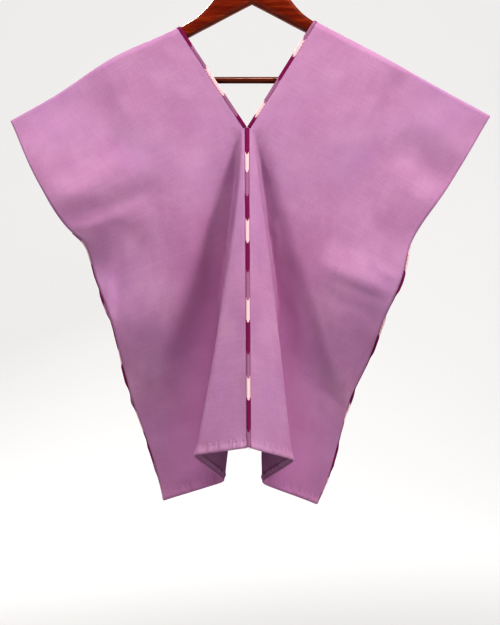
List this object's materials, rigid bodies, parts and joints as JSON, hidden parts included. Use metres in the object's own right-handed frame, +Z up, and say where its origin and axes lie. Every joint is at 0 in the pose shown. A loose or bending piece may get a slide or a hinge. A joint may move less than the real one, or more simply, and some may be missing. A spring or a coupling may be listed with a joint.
{
  "type": "blouse on a hanger",
  "caption": "Sleeveless V-neck blouse of folded cloths with woven tape seams, hung on a wooden hanger with a trouser bar.",
  "frame": {"origin": "inner top of the hanger's hook, where it rests on a rail", "axes": "+Z up, the blouse's front faces -Y, +X towards the viewer's right when the front is seen"},
  "size_m": [0.7002, 0.2205, 0.8519],
  "materials": {
    "lilac_cotton": "matt handwoven cotton",
    "woven_tape": "narrow tape with a resist-dyed pattern in magenta, mauve and pale pink",
    "dark_wood": "dark red-brown wood under gloss varnish",
    "hook_steel": "plain bent steel wire"
  },
  "bodies": {
    "root": {"panel_left": "lilac_cotton", "panel_right": "lilac_cotton", "neck_band_left": "woven_tape", "neck_band_right": "woven_tape", "centre_tape_front": "woven_tape", "centre_tape_back": "woven_tape", "side_tape_left": "woven_tape", "side_tape_right": "woven_tape", "hanger_yoke": "dark_wood", "trouser_bar": "dark_wood", "hanger_hook": "hook_steel"}
  },
  "joints": []
}
